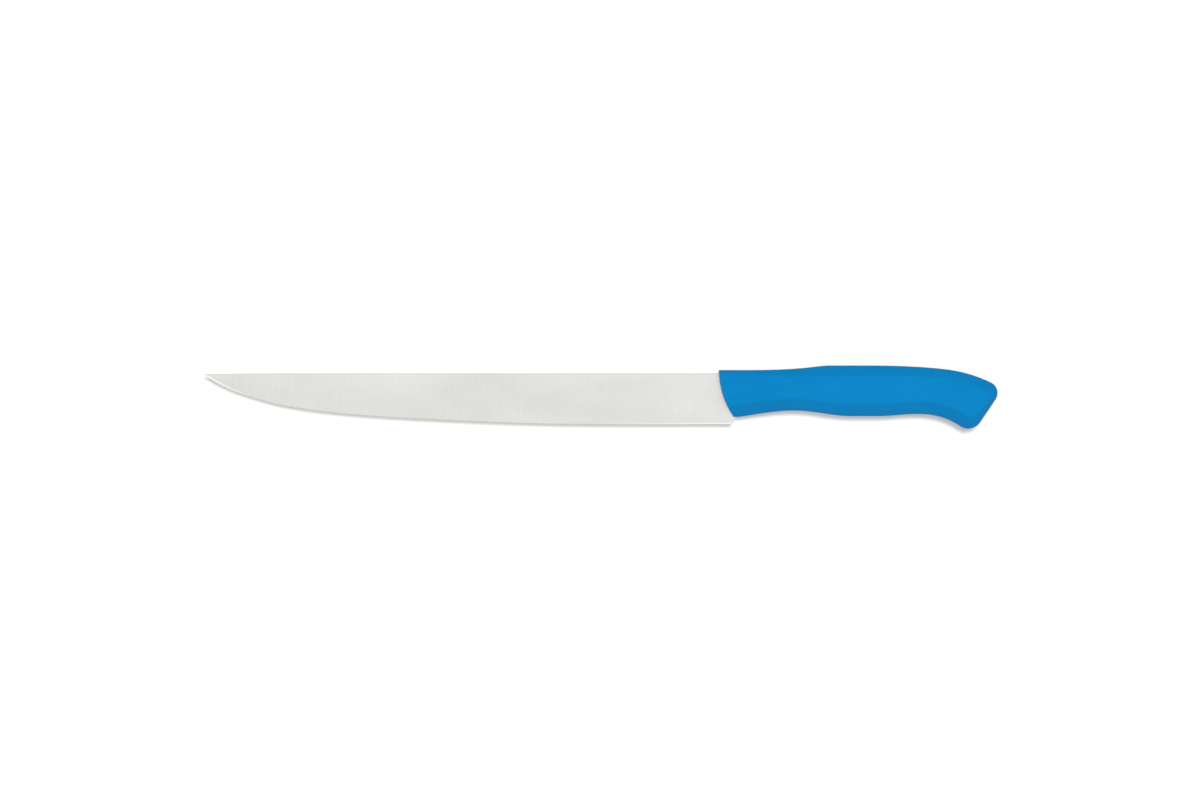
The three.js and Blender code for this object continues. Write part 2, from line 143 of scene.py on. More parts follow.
class BladeSettings(bpy.types.PropertyGroup):
    heel_setback: size("Heel setback", "Heel corner behind the top of the handle's front", 5.9)
    heel_height: size("Heel height", "Spine to edge at the heel", 24)
    heel_slant: angle("Heel slant", "Lean of the heel's back edge towards the butt", 31)
    straight_edge: size("Straight edge", "Straight stretch of the edge ahead of the heel", 62)
    tip_drop: size("Tip drop", "Fall of the spine towards the tip", 0.4)
    tip_drop_length: size("Tip drop length", "Length over which the spine falls", 40)
    spine_at_tang: size("Spine at tang", "Thickness of the steel strip", 2.2)
    spine_at_tip: size("Spine at tip", "Thickness left by the taper at the tip", 0.8)
    edge_at_heel: size("Edge at heel", "Thickness behind the sharpened bevel at the heel", 0.42)
    bevel_angle: angle("Bevel angle", "Sharpening angle of each side", 17)
    edge_land: size("Edge land", "Thickness of the very edge", 0.06)
    spine_round: size("Spine round", "Broken corners of the spine", 0.25)
    tang_length: size("Tang length", "End of the tang behind the handle's front", 95)
    tang_top: size("Tang top", "Top edge of the tang under the spine", 3.6)
    tang_bottom: size("Tang bottom", "Lower edge of the tang under the spine", 14.4)
    tang_tip_height: size("Tang tip height", "Height of the tang at its round end", 7)
    tang_shoulder: size("Tang shoulder", "Full-height stretch behind the ground faces", 3.1)
    heel_fillet: size("Heel fillet", "Curve between the heel's back edge and the tang", 4)
    grind_overlap: size("Grind overlap", "Run-out of the ground faces on the tang", 3)
    lock_radius: size("Lock radius", "Radius of the punched lock holes", 2.75)
    lock_first: size("First lock hole", "First lock hole behind the handle's front", 38)
    lock_last: size("Last lock hole", "Last lock hole ahead of the tang's end", 15)
    lock_holes: IntProperty(name="Lock holes", description="Holes in the tang", default=3, min=2)
    steel_light: colour("Steel, light", "Ground faces where the belt ran fine", "#E9E9E5")
    steel_dark: colour("Steel, dark", "Ground faces where the belt ran coarse", "#DBDBD7")
    cloud_share: share("Cloud share", "How much of that tone is broad clouds, not belt lines", 0.77)
    # The sharpened bevel's colour is painted lighter than the ground faces' as a highlight along the
    # edge; its smoother finish is real.
    honed_with_highlight: colour("Honed steel", "Sharpened bevel", "#FAFAF8")
    blanked: colour("Blanked steel", "Spine, heel and tang edges", "#D2D1CE")


class HandleSettings(bpy.types.PropertyGroup):
    front_to_groove: size("Front to groove", "Deepest point of the finger groove", 35.8)
    groove_to_palm: size("Groove to palm", "From there to the palm swell", 26.6)
    palm_length: size("Palm length", "Fullest stretch of the palm swell", 12.4)
    palm_to_waist: size("Palm to waist", "From there to the start of the drop to the hook", 19.4)
    neck_length: size("Neck length", "Length over which the back rises slowly", 40.3)
    neck_to_crown: size("Neck to crown", "Length over which it rises faster", 12.9)
    crown_length: size("Crown length", "Level stretch of the back", 9.6)
    crown_to_fall: size("Crown to fall", "Length over which the back starts to fall", 44)
    front_lip: size("Front lip", "Plastic over the spine", 1.5)
    front_height: size("Front height", "Back to belly at the front", 22.2)
    neck_rise: size("Neck rise", "End of the neck above the front", 1)
    neck_slope: share("Neck slope", "Slope of the back there", 0.094)
    crown_rise: size("Crown rise", "Crown above the front", 2.15)
    fall_depth: size("Fall depth", "Fall of the back at the end of that length", 1.75)
    fall_slope: share("Fall slope", "Slope of the back there", 0.116)
    groove_depth: size("Groove depth", "Groove above the lower front corner", 3.1)
    palm_swell: size("Palm swell", "Palm swell below the groove", 2.65)
    waist_rise: size("Waist rise", "Waist above the palm swell", 1)
    corner_radius: size("Corner radius", "Top corner of the butt", 5.6)
    corner_drop: size("Corner drop", "Its centre under the spine", 9.4)
    back_fall: angle("Back fall", "Slope at which the back meets that corner", 26)
    butt_slant: angle("Butt slant", "Lean of the butt's flat", 34)
    butt_flat: size("Butt flat", "Length of the butt's flat", 12.9)
    hook_radius: size("Hook radius", "Round hook under the butt", 6.65)
    hook_rise: angle("Hook rise", "Slope at which the belly leaves the hook", 33.8)
    thickness: size("Thickness", "Cheek to cheek at the palm", 18)
    front_thickness: size("Front thickness", "Cheek to cheek at the front", 14)
    taper_start: size("Taper start", "The cheeks widen evenly from the front to here", 27)
    taper_end: size("Taper end", "The cheeks are flat from here", 48)
    front_radius: size("Front radius", "Arc of the swept front", 39.3)
    front_sweep_length: size("Sweep length", "Length over which the sweep fades out", 30)
    back_band_front: size("Back band, front", "Sloping band along the back at the front", 1.9)
    back_band: size("Back band", "The same band from the crown on", 4.7)
    belly_band: size("Belly band", "Sloping band along the belly", 5.8)
    butt_band: size("Butt band", "Sloping band along the butt", 3)
    butt_ease: size("Butt ease", "The hook's band has narrowed to it this far up the butt's flat", 2.2)
    front_band: size("Front band", "Broken edge round the front", 0.7)
    front_break: share("Front break", "How steeply that edge rolls over, as a power of the way in", 4)
    band_angle: angle("Band angle", "Slope of the bands", 40)
    butt_angle: angle("Butt angle", "Slope of the butt's band", 54)
    back_round: size("Back round", "Rounding between the back's band and the side wall", 0.8)
    belly_round: size("Belly round", "The same along the belly and the butt", 2)
    back_crease: size("Back crease", "Rounding between the back's band and the cheek", 0.35)
    neck_crease: size("Neck crease", "The same along the neck, where the band is widening", 1.2)
    belly_crease: size("Belly crease", "The same along the belly and the butt", 0.9)
    seam_height: size("Seam height", "Mould seam round the middle plane", 0.06)
    seam_width: size("Seam width", "Half its width", 0.12)
    plastic: colour("Plastic", "Main colour of the handle", "#0D87C9")
    plastic_deep: colour("Plastic, deep", "Its slightly deeper swirls", "#0C84C6")


class StudioSettings(bpy.types.PropertyGroup):
    frame_width: size("Frame width", "Width of the picture at the knife's middle plane", 568.18)
    lens: FloatProperty(name="Lens", description="Focal length", default=150, unit="CAMERA")
    aim_tipwards: size("Aim tipwards", "Picture's middle from the knife's, towards the tip", 0.104)
    aim_edgewards: size("Aim edgewards", "Picture's middle from the handle's, towards the edge", 1.397)
    dome: share("Dome", "Soft light from all round", 0.24)
    dome_lean: share("Dome lean", "How much more of it comes from the edge's side", 0.22)
    dome_turn: share("Dome turn", "How much more of it comes from the tip's side", 0.08)
    lamp: share("Lamp", "Light of the soft overhead lamp on a level surface", 0.77)
    lamp_tilt: angle("Lamp tilt", "Lean of the lamp towards the spine's side", 10)
    lamp_turn: angle("Lamp turn", "Lean of the lamp towards the butt's side", 4)
    lamp_spread: angle("Lamp spread", "Angle that the lamp fills", 12)
    paper: share("Paper", "Share of the light that the floor scatters", 0.72)
    paper_tone: colour("Paper tone", "Colour of the light that the floor scatters", "#FFFCF6")
    glow: share("Glow", "Share of white that the camera sees in the floor even in shadow", 0.36)
    floor_reach: size("Floor reach", "Middle of the floor to its sides", 6000)
    floor_gap: size("Floor gap", "Floor under the knife", 0.2)
    backdrop: colour("Backdrop", "Background, and what the floor adds to reach white", "#FFFFFF")


class KnifeSettings(bpy.types.PropertyGroup):
    blade: PointerProperty(type=BladeSettings)
    handle: PointerProperty(type=HandleSettings)
    studio: PointerProperty(type=StudioSettings)


# Curves and meshes


def smoothstep(x, low, high):
    """Rises from 0 at low to 1 at high, level at both ends: 3t squared less 2t cubed."""
    t = np.clip((x - low) / (high - low), 0, 1)
    return t * t * (3 - 2 * t)


def mix(a, b, t):
    """The value that lies the share t of the way from a to b."""
    return a + (b - a) * t


def through(stations):
    """Cubic curve y(x) through stations of x, y and slope, one cubic to each stretch."""
    xs, ys, slopes = np.array(stations).T

    def height(x):
        i = np.clip(np.searchsorted(xs, x, side="right") - 1, 0, len(xs) - 2)
        span = xs[i + 1] - xs[i]
        u = np.clip((x - xs[i]) / span, 0, 1)
        leave = u * (1 - u) ** 2 * span * slopes[i]
        arrive = u * u * (u - 1) * span * slopes[i + 1]
        return mix(ys[i], ys[i + 1], u * u * (3 - 2 * u)) + leave + arrive

    return height


def smooth_slopes(points):
    """Slope at each point of a curve: that of the line between its two neighbours."""
    x, y = np.array(points).T
    before = np.maximum(np.arange(len(x)) - 1, 0)
    after = np.minimum(np.arange(len(x)) + 1, len(x) - 1)
    return (y[after] - y[before]) / (x[after] - x[before])


def bezier(start, corner, end, steps):
    """Quadratic curves from start to end that leave and arrive along the lines to corner."""
    t = np.linspace(0, 1, steps + 1)[:, None]
    start, corner, end = (np.stack(point, -1)[:, None, :] for point in (start, corner, end))
    return (1 - t) ** 2 * start + 2 * t * (1 - t) * corner + t * t * end


def polar(radius, direction):
    """Points at a radius in each direction, from the positive x axis."""
    return radius * np.stack((np.cos(direction), np.sin(direction)), -1)


def ring_quads(first, second):
    """Faces between two closed loops of vertex numbers."""
    return np.stack((first, np.roll(first, -1), np.roll(second, -1), second), -1)


def grid_quads(numbers):
    """Faces between the rows and columns of a grid of vertex numbers."""
    corners = (numbers[:-1, :-1], numbers[1:, :-1], numbers[1:, 1:], numbers[:-1, 1:])
    return np.stack(corners, -1).reshape(-1, 4)


def mesh_object(name, points, faces, materials=(), finishes=None):
    """A mesh object from points in the drawing's own axes, moved to where the frame holds the knife."""
    mesh = bpy.data.meshes.new(name)
    mesh.from_pydata((points + ZERO).tolist(), [], faces)
    for material in materials:
        mesh.materials.append(material)
    if finishes is not None:
        mesh.polygons.foreach_set("material_index", finishes)
    mesh.validate()
    piece = bpy.data.objects.new(name, mesh)
    bpy.context.scene.collection.objects.link(piece)
    return piece


def prism(name, outline, half):
    """A flat plate: an outline in the blade's plane, carried half its thickness to either side."""
    count = len(outline)
    top = np.column_stack((outline, np.full(count, half)))
    points = np.concatenate((top, top * (1, 1, -1)))
    upper = np.arange(count)
    lower = upper + count
    sides = ring_quads(lower, upper).tolist()
    return mesh_object(name, points, [upper.tolist(), lower[::-1].tolist(), *sides])


def combine(piece, tool, operation):
    """Join a tool to a piece, or cut the piece by it, keep the result as its mesh and drop the tool."""
    boolean = piece.modifiers.new(operation, "BOOLEAN")
    boolean.operation = operation
    boolean.solver = "MANIFOLD"
    boolean.object = tool
    evaluated = piece.evaluated_get(bpy.context.evaluated_depsgraph_get())
    result = bpy.data.meshes.new_from_object(evaluated)
    if not result.polygons:
        raise RuntimeError(f"{operation} left nothing of {piece.name}")
    piece.modifiers.clear()
    piece.data = result
    bpy.data.objects.remove(tool)


def finish_piece(piece, node, sharp):
    """Shade a piece smooth but for its sharp edges, and let it stand for its CAD node."""
    piece.data.shade_smooth()
    piece.data.set_sharp_from_angle(angle=np.radians(sharp))
    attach(piece, "root")
    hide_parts(node)


# Blade


class Grind:
    """The blade's outline and its two ground planes, worked out from the settings."""

    def __init__(self, s):
        self.tip_x = BLADE_LOW[0] - ZERO[0]
        self.length = s.heel_setback - self.tip_x
        self.lean = np.tan(s.heel_slant)
        self.rear_x = s.heel_setback + s.heel_height * self.lean
        self.belly_length = self.length - s.straight_edge
        shares = (*BELLY, (self.length / self.belly_length, 1))
        points = np.array(shares) * (self.belly_length, s.heel_height)
        self.depth = through(np.column_stack((points, smooth_slopes(points))))
        self.distal = (s.spine_at_tang - s.spine_at_tip) / 2 / (self.rear_x - self.tip_x)
        heel_loss = (self.rear_x - s.heel_setback) * self.distal
        self.fall = ((s.spine_at_tang - s.edge_at_heel) / 2 - heel_loss) / s.heel_height
        self.half_strip = s.spine_at_tang / 2

    def half(self, place):
        """Half the thickness at a place: a plane that falls evenly to the tip and to the edge."""
        return self.half_strip - (self.rear_x - place[..., 0]) * self.distal + place[..., 1] * self.fall


def ground_blade(s, materials):
    """The ground blade: at each distance from the tip a section from edge to spine, mirrored below.

    Up the section come the edge, the sharpened bevel at its angle, the ground plane and the round
    corner of the spine. Near the tip the bevel takes at most half of a section and that corner a
    quarter. The sections lean over to the heel's slant, so the last one is the heel's back edge carried
    on up to the spine.
    """
    grind = Grind(s)
    # Sections stand this power closer together towards the tip.
    crowding = 1.5
    belly = grind.belly_length * np.linspace(0, 1, BELLY_STEPS + 1) ** crowding
    straight = np.linspace(grind.belly_length, grind.length, STRAIGHT_STEPS + 1)[1:]
    along = np.concatenate((belly, straight))
    stretch = (grind.rear_x - grind.tip_x) / grind.length
    fallen = s.tip_drop * np.maximum(0, 1 - along / s.tip_drop_length) ** 2
    edge = np.stack((grind.tip_x + along, -grind.depth(along)), -1)
    spine = np.stack((grind.tip_x + along * stretch, -fallen), -1)
    height = np.linalg.norm(spine - edge, axis=1)
    up = (spine - edge) / height[:, None]

    behind_edge = grind.half(edge) - s.edge_land / 2
    bevel = np.minimum(behind_edge / (np.tan(s.bevel_angle) - grind.fall), height / 2)
    corner = np.minimum(s.spine_round, height / 4)
    turn = np.linspace(0, np.pi / 2, SPINE_STEPS + 1)[1:]
    up_bevel = np.linspace(0, 1, BEVEL_STEPS + 1)
    up_plane = np.linspace(0, 1, PLANE_STEPS + 1)[1:]
    on_bevel = bevel[:, None] * up_bevel
    on_plane = mix(bevel[:, None], (height - corner)[:, None], up_plane)
    on_corner = height[:, None] - corner[:, None] * (1 - np.sin(turn))
    rise = np.concatenate((on_bevel, on_plane, on_corner), 1)
    place = edge[:, None, :] + up[:, None, :] * rise[..., None]
    thick = grind.half(place)
    behind_bevel = thick[:, BEVEL_STEPS, None]
    thick[:, :BEVEL_STEPS + 1] = mix(s.edge_land / 2, behind_bevel, up_bevel)
    thick[:, -SPINE_STEPS:] -= corner[:, None] * (1 - np.cos(turn))

    upper = np.concatenate((place, thick[..., None]), -1)
    loops = np.concatenate((upper, upper[:, ::-1] * (1, 1, -1)), 1)
    stations, count = loops.shape[:2]
    numbers = np.arange(stations * count).reshape(stations, count)
    around = np.concatenate((numbers, numbers[:, :1]), 1)
    quads = grid_quads(around)
    half_finish = np.repeat((HONED, GROUND, BLANKED), (BEVEL_STEPS, PLANE_STEPS, SPINE_STEPS))
    finish = np.concatenate((half_finish, (BLANKED,), half_finish[::-1], (BLANKED,)))
    finishes = np.concatenate((np.tile(finish, stations - 1), (BLANKED, BLANKED)))
    faces = [*quads.tolist(), numbers[0].tolist(), numbers[-1, ::-1].tolist()]
    return mesh_object("ground_blade", loops.reshape(-1, 3), faces, materials, finishes)


def tang_outline(s):
    """Outline of the tang: heel fillet, lower edge, round end, top edge, shoulder and run-out."""
    grind = Grind(s)
    middle = -(s.tang_top + s.tang_bottom) / 2
    radius = s.tang_tip_height / 2
    foot = -s.tang_bottom - s.heel_fillet
    bottom = -s.tang_bottom

    def heel(y):
        return s.heel_setback + (y + s.heel_height) * grind.lean

    fillet = bezier(
        ([heel(foot)], [foot]),
        ([heel(bottom)], [bottom]),
        ([heel(bottom) + s.heel_fillet], [bottom]),
        FILLET_STEPS,
    )[0]
    half_turn = np.linspace(-np.pi / 2, np.pi / 2, END_STEPS + 1)
    end = polar(radius, half_turn) + (s.tang_length - radius, middle)
    shoulder = grind.rear_x + s.tang_shoulder
    head = [(shoulder + s.tang_top, -s.tang_top), (shoulder, 0), (grind.rear_x - s.grind_overlap, 0)]
    return np.concatenate((fillet, end, head, [(heel(foot) - s.grind_overlap, foot)]))


def lock_holes(s):
    """Outlines of the lock holes: circles evenly spaced along the middle of the tang."""
    places = np.linspace(s.lock_first, s.tang_length - s.lock_last, s.lock_holes)
    middle = -(s.tang_top + s.tang_bottom) / 2
    circle = polar(s.lock_radius, np.linspace(0, 2 * np.pi, HOLE_STEPS + 1)[:-1])
    return [circle + (x, middle) for x in places]


def flat_uv(piece, name):
    """A flat UV map in metres, with u along the knife and v from edge to spine."""
    mesh = piece.data
    points = np.empty(len(mesh.vertices) * 3, np.float32)
    corners = np.empty(len(mesh.loops), np.int32)
    mesh.vertices.foreach_get("co", points)
    mesh.loops.foreach_get("vertex_index", corners)
    uv = points.reshape(-1, 3)[corners, :2]
    mesh.uv_layers.new(name=name).data.foreach_set("uv", uv.ravel())


def make_blade(s):
    """The blade with its tang, as one piece of steel."""
    materials = [ground_steel(s), honed_steel_with_highlight(s), blanked_steel(s)]
    blade = ground_blade(s, materials)
    tang = prism("tang", tang_outline(s), s.spine_at_tang / 2)
    for outline in lock_holes(s):
        combine(tang, prism("hole", outline, s.spine_at_tang), "DIFFERENCE")
    tang.data.materials.clear()
    for material in materials:
        tang.data.materials.append(material)
    tang.data.polygons.foreach_set("material_index", np.full(len(tang.data.polygons), BLANKED))
    combine(blade, tang, "UNION")
    flat_uv(blade, "grind")
    finish_piece(blade, "blade", SHARP_STEEL)


# Handle


class Rim(NamedTuple):
    """A stretch of the handle's outline: its points, each one's way in to the cheek, and its band.

    The band has a width and a fall below the cheek. Its turn rounds it to the side wall and its crease
    to the cheek. The power says how late the way in leaves the upright front: 1 for the bands, more for
    the front.
    """

    place: np.ndarray
    reach: np.ndarray
    width: np.ndarray
    fall: np.ndarray
    turn: np.ndarray
    crease: np.ndarray
    power: np.ndarray


class Grip:
    """The handle's outline, worked out from the settings."""

    def __init__(self, s):
        self.length = HANDLE_HIGH[0] - HANDLE_LOW[0]
        self.groove_x = s.front_to_groove
        self.palm_x = self.groove_x + s.groove_to_palm
        self.waist_x = self.palm_x + s.palm_length + s.palm_to_waist
        self.crown_x = s.neck_length + s.neck_to_crown
        self.fall_x = self.crown_x + s.crown_length + s.crown_to_fall
        self.facing = -s.butt_slant
        self.corner_start = np.pi / 2 - s.back_fall
        self.hook_end = -np.pi / 2 - s.hook_rise
        self.corner = np.array((self.length - s.corner_radius, -s.corner_drop))
        inwards = polar(s.corner_radius - s.hook_radius, self.facing)
        self.hook = self.corner + inwards + polar(s.butt_flat, self.facing - np.pi / 2)
        self.back_end = self.corner + polar(s.corner_radius, self.corner_start)
        self.belly_end = self.hook + polar(s.hook_radius, self.hook_end)
        self.back = self.back_curve(s)
        self.belly = self.belly_curve(s)

    def back_curve(self, s):
        """The back: slow rise along the neck, faster rise to a level crown, fall to the corner."""
        crown_y = s.front_lip + s.crown_rise
        return through((
            (0, s.front_lip, 0),
            (s.neck_length, s.front_lip + s.neck_rise, s.neck_slope),
            (self.crown_x, crown_y, 0),
            (self.crown_x + s.crown_length, crown_y, 0),
            (self.fall_x, crown_y - s.fall_depth, -s.fall_slope),
            (*self.back_end, -np.tan(s.back_fall)),
        ))

    def belly_curve(self, s):
        """The belly: up to the finger groove, down to the palm swell, waist, down to the hook."""
        foot_y = s.front_lip - s.front_height
        groove_y = foot_y + s.groove_depth
        palm_y = groove_y - s.palm_swell
        return through((
            (0, foot_y, 0),
            (self.groove_x, groove_y, 0),
            (self.palm_x, palm_y, 0),
            (self.palm_x + s.palm_length, palm_y, 0),
            (self.waist_x, palm_y + s.waist_rise, 0),
            (*self.belly_end, -np.tan(s.hook_rise)),
        ))


def grip_edge(height, end_x, side, width, slope, turn, crease):
    """The back or the belly as a rim: each point's way in is square to the curve."""
    x = np.linspace(0, end_x, GRIP_STEPS + 1)
    step = 1e-5
    climb = (height(x + step) - height(x - step)) / (2 * step)
    inwards = side * np.stack((-climb, np.ones_like(x)), -1)
    inwards /= np.linalg.norm(inwards, axis=1)[:, None]
    width, crease = width(x), crease(x)
    turn = np.full_like(x, turn)
    reach = inwards * (width + crease)[:, None]
    return Rim(np.stack((x, height(x)), -1), reach, width, width * slope, turn, crease, np.ones_like(x))


def butt_edge(s, grip):
    """The butt as a rim: the hook's arc, the flat and the corner's arc.

    Round the hook and up to the end of the ease the cheek ends on a straight line, and each way in goes
    to its share of that line. From there on each way in is square to the outline, and round the first
    part of the corner the band widens to the back's.
    """
    # The share of the corner over which the band widens.
    widening = 0.7
    hook = np.linspace(grip.hook_end, grip.facing, HOOK_STEPS + 1)
    up_flat = np.linspace(0, 1, FLAT_STEPS + 1)[1:-1]
    up_corner = np.linspace(0, 1, CORNER_STEPS + 1)
    corner = mix(grip.facing, grip.corner_start, up_corner)
    foot = grip.hook + polar(s.hook_radius, grip.facing)
    head = grip.corner + polar(s.corner_radius, grip.facing)
    flat = mix(foot, head, up_flat[:, None])
    hook_place = grip.hook + polar(s.hook_radius, hook)
    corner_place = grip.corner + polar(s.corner_radius, corner)
    place = np.concatenate((hook_place, flat, corner_place))
    facing = np.concatenate((hook, np.full_like(up_flat, grip.facing), corner))

    hook_past = (hook - grip.hook_end) * s.hook_radius
    past = np.concatenate((hook_past, hook_past[-1] + up_flat * s.butt_flat))
    narrowed = np.minimum(past / (hook_past[-1] + s.butt_ease), 1)
    narrowed = np.concatenate((narrowed, np.ones_like(corner)))
    widened = np.concatenate((np.zeros_like(past), smoothstep(up_corner, 0, widening)))
    turn = mix(s.belly_round, s.back_round, widened)
    crease = mix(s.belly_crease, s.back_crease, widened)
    width = mix(s.butt_band, s.back_band, widened)
    belly_fall, back_fall = (band * np.tan(s.band_angle) for band in (s.belly_band, s.back_band))
    fall = mix(mix(belly_fall, s.butt_band * np.tan(s.butt_angle), narrowed), back_fall, widened)

    square = -polar(1, facing) * (width + crease)[:, None]
    line_start = grip.belly_end - polar(s.belly_band + s.belly_crease, grip.hook_end)
    eased = mix(foot, head, s.butt_ease / s.butt_flat)
    line_end = eased - polar(s.butt_band + s.belly_crease, grip.facing)
    to_line = mix(line_start, line_end, narrowed[:, None]) - place
    reach = np.where(narrowed[:, None] < 1, to_line, square)
    width = np.linalg.norm(reach, axis=1) - crease
    return Rim(place, reach, width, fall, turn, crease, np.ones_like(width))


def handle_rim(s, grip):
    """The closed outline, counter-clockwise: belly, butt, back and front.

    The front's points lie evenly between the two front corners, and so do its bands.
    """
    butt = butt_edge(s, grip)

    def belly_width(x):
        return np.full_like(x, s.belly_band)

    def back_width(x):
        return mix(s.back_band_front, s.back_band, smoothstep(x, 0, grip.crown_x))

    def belly_crease(x):
        return np.full_like(x, s.belly_crease)

    def back_crease(x):
        fades_in = smoothstep(x, 0, s.neck_length / 2)
        fades_out = smoothstep(x, s.neck_length, grip.crown_x)
        return mix(s.back_crease, s.neck_crease, fades_in - fades_out)

    slope = np.tan(s.band_angle)
    belly = grip_edge(grip.belly, grip.belly_end[0], 1, belly_width, slope, s.belly_round, belly_crease)
    back = grip_edge(grip.back, grip.back_end[0], -1, back_width, slope, s.back_round, back_crease)
    for corner in (belly, back):
        corner.reach[0, 0] = s.front_band
        corner.power[0] = s.front_break
    up = np.linspace(0, 1, BUTT_STEPS + 1)[1:-1]

    def between(low, high):
        return mix(low[:1], high[:1], up if low.ndim == 1 else up[:, None])

    front = (between(low, high) for low, high in zip(belly, back))
    stretches = zip(belly, butt, back, front)
    return Rim(*(np.concatenate((a[:-1], b, c[-2::-1], d[::-1])) for a, b, c, d in stretches))


def half_width(s, x):
    """Half the handle's thickness: a straight taper from the front that eases into the flat cheeks."""
    easing = s.taper_end - s.taper_start
    straight = np.maximum(0, s.taper_start - x)
    eased = np.clip(s.taper_end - x, 0, easing)
    narrowed = (straight + eased**2 / (2 * easing)) / (s.taper_start + easing / 2)
    return mix(s.thickness, s.front_thickness, narrowed) / 2


def band_profile(s, rim, half):
    """Section of the edge at each rim point: distance inwards and height over the middle plane.

    From the mould seam, a bell curve, the side wall goes up, a rounding turns it onto the sloping band,
    and a second rounding turns the band onto the cheek.
    """
    # Most of the half thickness that the band takes, and most of the wall that its turn takes.
    most_fall = 0.85
    most_turn = 0.8
    # The seam's bell has died out at this many of its half widths.
    seam_reach = 2.5
    width, crease = rim.width, rim.crease
    fall = np.minimum(rim.fall, most_fall * half)
    wall = half - fall
    turn = np.minimum(rim.turn, most_turn * wall)
    on_band = np.minimum(turn / np.hypot(1, fall / width), width / 2)

    def band_at(inset):
        return inset, wall + inset / width * fall

    zero = np.zeros_like(width)
    low = np.tile(np.linspace(0, seam_reach, SEAM_STEPS + 1) * s.seam_width, (len(width), 1))
    seam = np.stack((-s.seam_height * np.exp(-(low / s.seam_width) ** 2), low), -1)
    side = bezier((zero, wall - turn), (zero, wall), band_at(on_band), ROUND_STEPS)
    edge = bezier(band_at(width - crease), (width, half), (width + crease, half), CREASE_STEPS)
    up_band = np.linspace(0, 1, BAND_STEPS + 1)[1:-1, None]
    band = mix(side[:, -1:], edge[:, :1], up_band)
    return np.concatenate((seam, side, band, edge), 1)


def swept(s, places):
    """The front swept back by its arc's depth at each height, which fades out along the grip."""
    x, y = places[..., 0], places[..., 1]
    drop = np.clip(s.front_lip - y, 0, s.front_radius)
    back = s.front_radius - np.sqrt(s.front_radius**2 - drop**2)
    fade = np.maximum(0, 1 - x / s.front_sweep_length) ** 2
    return np.stack((x + back * fade, y), -1)


def moulded_handle(s, materials):
    """The handle: two cheeks, each a grid over the outline whose rim goes down to the middle plane.

    Grid columns run from belly to back in step along both, the first column is the front and the last
    the butt, and the rim's rings follow the section of the edge. The lower cheek mirrors the upper.
    """
    grip = Grip(s)
    rim = handle_rim(s, grip)
    inner = rim.place + rim.reach
    profile = band_profile(s, rim, half_width(s, inner[:, 0]))
    shares = profile[..., 0] / (rim.width + rim.crease)[:, None]
    late = np.sign(shares) * np.abs(shares) ** rim.power[:, None]
    rings = rim.place[:, None, :] + rim.reach[:, None, :] * np.stack((late, shares), -1)
    rings = np.concatenate((swept(s, rings), profile[..., 1:]), -1)
    count, levels = rings.shape[:2]

    last = GRIP_STEPS
    belly = inner[1:last]
    back = inner[last + BUTT_STEPS + last - 1:last + BUTT_STEPS:-1]
    across = np.linspace(0, 1, BUTT_STEPS + 1)[1:-1]
    cheek = mix(belly[:, None, :], back[:, None, :], across[:, None])
    cheek = np.concatenate((swept(s, cheek), half_width(s, cheek[..., :1])), -1)

    upper = np.concatenate((rings.reshape(-1, 3), cheek.reshape(-1, 3)))
    ring_numbers = np.arange(count * levels).reshape(count, levels)
    edge = ring_numbers[:, -1]
    grid = np.empty((last + 1, BUTT_STEPS + 1), int)
    grid[:, 0] = edge[:last + 1]
    grid[last] = edge[last:last + BUTT_STEPS + 1]
    grid[::-1, -1] = edge[last + BUTT_STEPS:2 * last + BUTT_STEPS + 1]
    grid[0, 1:] = edge[:2 * last + BUTT_STEPS - 1:-1]
    grid[1:-1, 1:-1] = count * levels + np.arange(cheek[..., 0].size).reshape(cheek.shape[:2])
    closed = np.concatenate((ring_numbers, ring_numbers[:1]))
    faces = np.concatenate((grid_quads(closed), grid_quads(grid)))

    mirror = np.arange(len(upper)) + len(upper)
    mirror[ring_numbers[:, 0]] = ring_numbers[:, 0]
    points = np.concatenate((upper, upper * (1, 1, -1)))
    used = np.ones(len(points), bool)
    used[len(upper) + ring_numbers[:, 0]] = False
    order = np.cumsum(used) - 1
    both = order[np.concatenate((faces, mirror[faces][:, ::-1]))]
    return mesh_object("moulded_handle", points[used], both.tolist(), materials)


def make_handle(s):
    """The handle, with the space that the steel takes up in it."""
    handle = moulded_handle(s, [moulded_plastic(s)])
    blade = bpy.data.objects["ground_blade"]
    core = bpy.data.objects.new("core", blade.data.copy())
    bpy.context.scene.collection.objects.link(core)
    core.data.materials.clear()
    core.data.polygons.foreach_set("material_index", np.zeros(len(core.data.polygons), np.int32))
    combine(handle, core, "DIFFERENCE")
    finish_piece(handle, "handle", SHARP_PLASTIC)


# Materials


def new_tree(owner):
    """The empty node tree of a material or world."""
    owner.use_nodes = True
    owner.node_tree.nodes.clear()
    return owner.node_tree


def add(tree, kind, inputs=None, **settings):
    """Add a node, set its options and sockets, and link a socket that is given another's output."""
    node = tree.nodes.new(kind)
    for name, value in settings.items():
        setattr(node, name, value)
    for socket, value in (inputs or {}).items():
        if isinstance(value, bpy.types.NodeSocket):
            tree.links.new(value, node.inputs[socket])
        else:
            node.inputs[socket].default_value = value
    return node


def per_metre(*millimetres):
    """Texture scale for a pattern that repeats at these sizes along X, Y and Z."""
    return tuple(1 / (value * MM) for value in millimetres)


